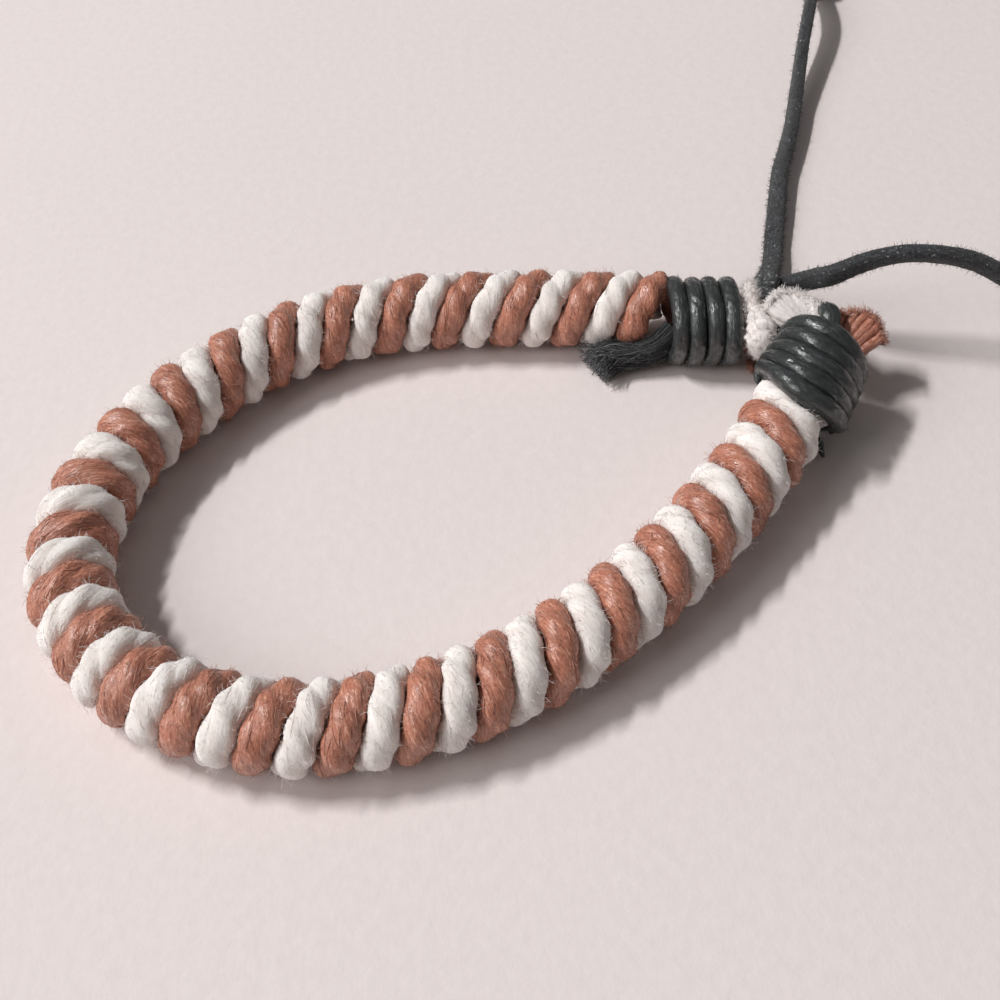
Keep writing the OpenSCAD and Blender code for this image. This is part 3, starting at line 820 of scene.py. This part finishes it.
wound_cord("white_wound", WHITE, "white_cotton", "white_cord", extra=0.5, **WHITE_LAY)
wound_cord("brown_wound", BROWN, "brown_cotton", "brown_cord", extra=0.2, **BROWN_LAY)
lying_fibres("white_fibres", WHITE, "white_cotton", count=1800, long=(0.8, 2.4), radius=0.02, lift=0.01,
             tint=(0.5, 0.9), **WHITE_LAY)
lying_fibres("brown_fibres", BROWN, "brown_cotton", count=3300, long=(0.8, 2.4), radius=0.026, lift=0.015,
             tint=(0.0, 1.0), **BROWN_LAY)
fuzz("white_fuzz", FLUFF, "white_cotton", count=7500, long=(0.15, 0.7), radius=0.019, **WHITE_LAY)
fuzz("brown_fuzz", BROWN, "brown_cotton", count=7500, long=(0.15, 0.6), radius=0.020, **BROWN_LAY)


# Bindings

# Rings in a wrap, corners and roundness of its section, how thin its cut ends run out, and hairs on a binding
WRAP_RINGS = 90
WRAP_SIDES = 32
WRAP_CORNER, WRAP_CORNER_UP = 2.4, 2.2
WRAP_END_TURN, WRAP_END_SIZE = 0.06, 0.35
WRAP_HAIRS = 420


def binding(name, start, table, step, turns, first, seed, node, ends=()):
    """Turns of waxed cord. Each wrap reaches to the start of the next one."""
    turn = (np.arange(int(round(turns * WRAP_RINGS)) + 1) / WRAP_RINGS)[:, None]
    a = np.radians(first) - 2 * np.pi * turn
    end = np.clip(np.minimum(turn, turns - turn) / WRAP_END_TURN, WRAP_END_SIZE, 1)
    near = start + wrap_edge(table, step, turn, a)
    far = start + wrap_edge(table, step, turn + 1, a)
    wide = (far - near) * 1.05 * (0.6 + 0.4 * end)
    mid = (near + far) / 2 + 0.07 * wave(turn, seed, 9)
    angle = circle(WRAP_SIDES)[None, :]
    c, v = round_square(angle, WRAP_CORNER, WRAP_CORNER_UP)
    run = turn * 2 * np.pi * table[0, 4]
    broad = wave(run * 2.4 + 2.5 * np.cos(angle), seed + 1, 1.3)
    small = wave(run * 5 + 5 * np.cos(angle), seed + 2, 1)
    lump = 0.05 * broad + 0.03 * small
    rise = v * WRAP_T / 2 * end + lump * np.maximum(v, 0) - WRAP_T / 2 + 0.1 * wave(turn, seed + 3, 14)
    middle, half_wide, half_high = [np.interp(turn, table[:, 0], table[:, k]) for k in (3, 4, 5)]
    out, up = middle + (half_wide + rise) * np.sin(a), (half_high + rise) * np.cos(a)
    rings = around(mid + c * wide / 2, out, up)
    soup = Soup()
    soup.tube(rings, grid(c * wide / 2, v * WRAP_T / 2, run))
    for k, rows in enumerate(ends):
        rope(soup, rows, seed + 20 + k)
    rng = np.random.default_rng(seed + 30)
    pick = rng.integers(0, len(turn), WRAP_HAIRS), rng.integers(1, WRAP_SIDES // 2, WRAP_HAIRS)
    normal = unit(rings[pick] - at(mid[pick[0], 0]))
    forward = unit(np.roll(rings, -1, 0) - rings)[pick]
    soup.hairs(rings[pick], normal, forward, seed + 31, long=(0.1, 0.4), radius=0.014, lean=0.8,
               tint=(0.3, 0.9))
    return soup.piece(name, WAX, node)


binding("left_wraps", LEFT_START, LEFT_WRAPS, LEFT_PITCH, LEFT_TURNS, LEFT_FIRST, 81, "left_binding")
binding("right_wraps", RIGHT_START, RIGHT_WRAPS, RIGHT_PITCH, RIGHT_TURNS, RIGHT_FIRST, 91, "right_binding",
        RIGHT_WRAP_ENDS)


# Loose ends

# Tufts: thickness of a thread, how uneven the threads' ends are, and the core's size in its bundle
THREAD_D = 0.1
RAGGED = 0.35
CORE_SIZE = 0.88
# Hairs on a packed strand's end
MOUTH_HAIRS = 60
# Fans: layers of yarns, and how far each lies below the one before
FAN_LAYERS = 2
FAN_DROP = 0.75
# Strands packed into the bindings: first and last station, offset outwards, heights and radius
LEFT_WHITE_PACK = {"start": 5.0, "stop": 1.6, "out": -0.2, "heights": (-0.95, 0.95), "radius": 1.0}
LEFT_BROWN_PACK = {"start": 5.0, "stop": 1.3, "out": -2.4, "heights": (-0.95, 0.95), "radius": 1.0}
RIGHT_PACK = {"start": LINE_END - 4.5, "stop": LINE_END - 0.5, "heights": (-1.35, 1.25), "radius": 1.3}
RIGHT_WHITE_PACK = {"out": -1.3, **RIGHT_PACK}
RIGHT_BROWN_PACK = {"out": 1.2, **RIGHT_PACK}


def disc(rng, count, side, up):
    """Distances and directions of random places in a round end, a little closer together in its middle."""
    turn, far = rng.uniform(0, 2 * np.pi, count), rng.uniform(0, 1, count) ** 0.6
    return far[:, None], side * np.cos(turn)[:, None] + up * np.sin(turn)[:, None]


def packed(soup, seed, start, stop, out, heights, radius):
    """The strands of a cord inside a binding, cut off at its mouth."""
    s = np.linspace(start, stop, 4)
    rng = np.random.default_rng(seed)
    for k, up in enumerate(heights):
        points = around(s, np.full(4, out), np.full(4, up))
        rows = np.column_stack([points, np.full(4, radius)])
        rope(soup, rows, seed + k, sides=16, steps=6, rough=0.08, tint=0.35)
        go = unit(points[-1] - points[-2])
        side = unit(np.cross(go, [0, 0, 1.0]))
        far, spread = disc(rng, MOUTH_HAIRS, side, np.cross(side, go))
        roots = points[-1] + 0.9 * radius * far * spread
        ahead, sideways = np.broadcast_to(go, roots.shape), np.broadcast_to(side, roots.shape)
        soup.hairs(roots, ahead, sideways, seed + 9 + k, long=(0.2, 0.6), radius=0.04, lean=0.3,
                   tint=(0.1, 0.9))


def tuft(name, rows, seed, material, node, count, wild, steps, core, stray, long, shade=1.0, pack=None):
    """A cut end of cord: a core and a bundle of fine threads that fan out."""
    soup = Soup()
    if pack:
        packed(soup, seed + 40, **pack)
    line = smooth([row + [0] for row in rows], steps)
    part = line[:max(3, int(len(line) * core))].copy()
    fade = np.linspace(1, 0.5, len(part))
    part[:, 3] *= CORE_SIZE * fade
    part[:, 4] *= CORE_SIZE * fade
    rings, fibre, _, _ = strip_rings(part, sides=18, corner=2.4, lump=0.06, seed=seed)
    # shade below 1 paints shade: it darkens the core and the threads' root ends, for a cast shadow lying on
    # them
    soup.tube(rings, fibre, 0.3 * shade)
    paths = bundle_paths(rows, count, THREAD_D, seed + 1, steps, wild, RAGGED)
    points = paths.shape[1]
    rng = np.random.default_rng(seed + 2)
    taper = np.linspace(1, 0.6, points)[None, :] * rng.uniform(0.6, 1.3, (count, 1)) * THREAD_D / 2
    soup.threads(paths, taper, rng.uniform(0.2, 1, (count, 1)) * np.linspace(shade, 1, points), seed + 3)
    pick = rng.integers(0, count, stray)
    at_point = rng.integers(points // 3, points, stray)
    roots = paths[pick, at_point]
    forward = unit(np.gradient(paths, axis=1))[pick, at_point]
    centre = sample(at_point / (points - 1), np.linspace(0, 1, len(line)), line[:, :3])
    normal = unit(roots - centre + rng.normal(0, 0.1, (stray, 3)))
    soup.hairs(roots, unit(normal + forward), forward, seed + 4, long=long, radius=0.012, lean=1.0,
               tint=(0.5, 1), points=4)
    return soup.piece(name, material, node)


def fluff(name, rows, seed, material, node, count, long, pack):
    """A soft lump of loose fibres."""
    soup = Soup()
    packed(soup, seed + 40, **pack)
    sides = 24
    rings, offset, forward = rope(soup, rows, seed, sides, rough=0.16, tint=0.6)
    rng = np.random.default_rng(seed + 5)
    pick = rng.integers(0, len(rings), count), rng.integers(0, sides, count)
    soup.hairs(rings[pick], offset[pick], forward[pick[0]], seed + 6, long=long, radius=0.017, lean=1.6,
               tint=(0.7, 1), points=4)
    return soup.piece(name, material, node)


def arc_point(table, f):
    """A point of a smooth arc from the first row to the last, drawn towards the middle row."""
    table = np.array(table, float)
    return (1 - f) ** 2 * table[0] + 2 * f * (1 - f) * table[1] + f**2 * table[2]


def yarn_fan(name, roots, tips, seed, material, node, count, radius, frayed, hairy, pack):
    """A cut end of yarns in a fan, frayed at their tips. roots and tips: its start, middle and end."""
    soup = Soup()
    packed(soup, seed + 40, **pack)
    sides = 16
    rng = np.random.default_rng(seed)
    for layer in range(FAN_LAYERS):
        drop = [0, 0, FAN_DROP * layer]
        for k in range(count - layer % 2):
            f = (k + 0.5 * (layer % 2)) / (count - 1)
            root = arc_point(roots, f) - drop
            tip = arc_point(tips, f) - drop + rng.normal(0, 0.08, 3)
            go = unit(tip - root)
            side = unit(np.cross(go, [0.2, 0.1, 1]))
            sway = rng.uniform(-0.12, 0.12)
            points = [root - go * 0.9, root + go * 0.1, (root + tip) / 2 + side * sway, tip]
            rows = np.column_stack([points, [radius * 0.9, radius, radius * 1.05, radius * 0.95]])
            rings, offset, forward = rope(
                soup, rows, seed + 7 * k + 70 * layer, sides, rough=0.09, tint=rng.uniform(0.3, 0.6))
            far, spread = disc(rng, frayed, side, np.cross(side, go))
            start = tip - go * 0.4 + radius * 0.95 * far * spread
            out = unit(go + 0.3 * unit(start - tip))
            own_seed = seed + k + 20 * layer
            soup.hairs(start, out, np.broadcast_to(side, out.shape), own_seed + 60, long=(0.4, 0.85),
                       radius=0.035, lean=0.2, tint=(0.1, 1))
            pick = rng.integers(0, len(rings), hairy), rng.integers(0, sides, hairy)
            soup.hairs(rings[pick], offset[pick], forward[pick[0]], own_seed + 190, long=(0.15, 0.6),
                       radius=0.014, lean=1.8, tint=(0.3, 1))
    return soup.piece(name, material, node)


# The brush's root end carries painted shade (shade=0.2), for the braid's shadow on it
tuft("left_binding_brush", BRUSH, 101, FRAYED, "left_binding_tail",
     count=900, wild=0.8, steps=2, core=0.75, stray=1400, long=(0.25, 0.7), shade=0.2)
fluff("left_white_tuft", LEFT_WHITE, 111, FLUFF, "left_white_end",
      count=2400, long=(0.2, 0.65), pack=LEFT_WHITE_PACK)
tuft("left_brown_tuft", LEFT_BROWN, 121, BROWN, "left_brown_end",
     count=190, wild=0.3, steps=3, core=0.8, stray=250, long=(0.2, 0.7), pack=LEFT_BROWN_PACK)
yarn_fan("right_white_tuft", WHITE_FAN_ROOTS, WHITE_FAN_TIPS, 131, FLUFF, "right_white_end",
         count=15, radius=0.45, frayed=120, hairy=10, pack=RIGHT_WHITE_PACK)
yarn_fan("right_brown_tuft", BROWN_FAN_ROOTS, BROWN_FAN_TIPS, 141, BROWN, "right_brown_end",
         count=6, radius=0.42, frayed=130, hairy=110, pack=RIGHT_BROWN_PACK)


# The lace between the right end and the knot

def link_strand():
    """The lace from the right end to the knot."""
    soup = Soup()
    lace(soup, smooth_strip(LINK), 151)
    soup.piece("link_strand", SUEDE, "lace_link")


def return_strand():
    """The second strand of the lace, a smooth dark hump between the right end's two tufts."""
    soup = Soup()
    rings, fibre, _, _ = strip_rings(smooth_strip(RETURN), LACE_SIDES, corner=2.6, lump=0.03, seed=161)
    soup.tube(rings, fibre)
    soup.piece("return_strand", SMOOTH, "lace_return")


def tie_knot():
    """The small knot that ties the two laces."""
    soup = Soup()
    centre, axis = np.array([26.9, 19.95, 3.4]), unit(np.array([0.9, -0.3, 0.3]))
    knot_loop(soup, centre, axis, radius=1.15, thick=0.72, seed=171, nap=1500)
    soup.piece("tie_knot", KNOTTED, "lace_knot")


link_strand()
return_strand()
tie_knot()


# Floor and light

# Half the floor's width in metres
FLOOR_HALF = 1.0
SKY_COLOR = (1.0, 0.985, 0.975, 1)
SKY_STRENGTH = 0.155


def floor():
    """The table, in metres."""
    mesh = bpy.data.meshes.new("floor")
    x = FLOOR_HALF
    mesh.from_pydata([(-x, -x, 0), (x, -x, 0), (x, x, 0), (-x, x, 0)], [], [(0, 1, 2, 3)])
    mesh.materials.append(table_top("floor"))
    obj = bpy.data.objects.new("floor", mesh)
    bpy.context.scene.collection.objects.link(obj)


def sky():
    """A weak even light from all sides."""
    world = bpy.data.worlds.new("world")
    bpy.context.scene.world = world
    world.use_nodes = True
    background = world.node_tree.nodes["Background"]
    background.inputs["Color"].default_value = SKY_COLOR
    background.inputs["Strength"].default_value = SKY_STRENGTH


def area_light(name, towards, distance, long, short, energy):
    """A rectangular lamp that faces the origin, in metres and watts."""
    lamp = bpy.data.lights.new(name, "AREA")
    lamp.shape = "RECTANGLE"
    lamp.size = long
    lamp.size_y = short
    lamp.energy = energy
    obj = bpy.data.objects.new(name, lamp)
    away = Vector(towards).normalized()
    obj.location = away * distance
    obj.rotation_mode = "QUATERNION"
    obj.rotation_quaternion = (-away).to_track_quat("-Z", "Y")
    bpy.context.scene.collection.objects.link(obj)


floor()
sky()
area_light("key", (-0.72, 0.22, 1.0), distance=1.4, long=0.41, short=0.066, energy=15.9)
area_light("fill", (-0.95, -0.38, 0.75), distance=1.2, long=0.6, short=0.6, energy=4.9)
bpy.context.scene.view_settings.view_transform = "Standard"
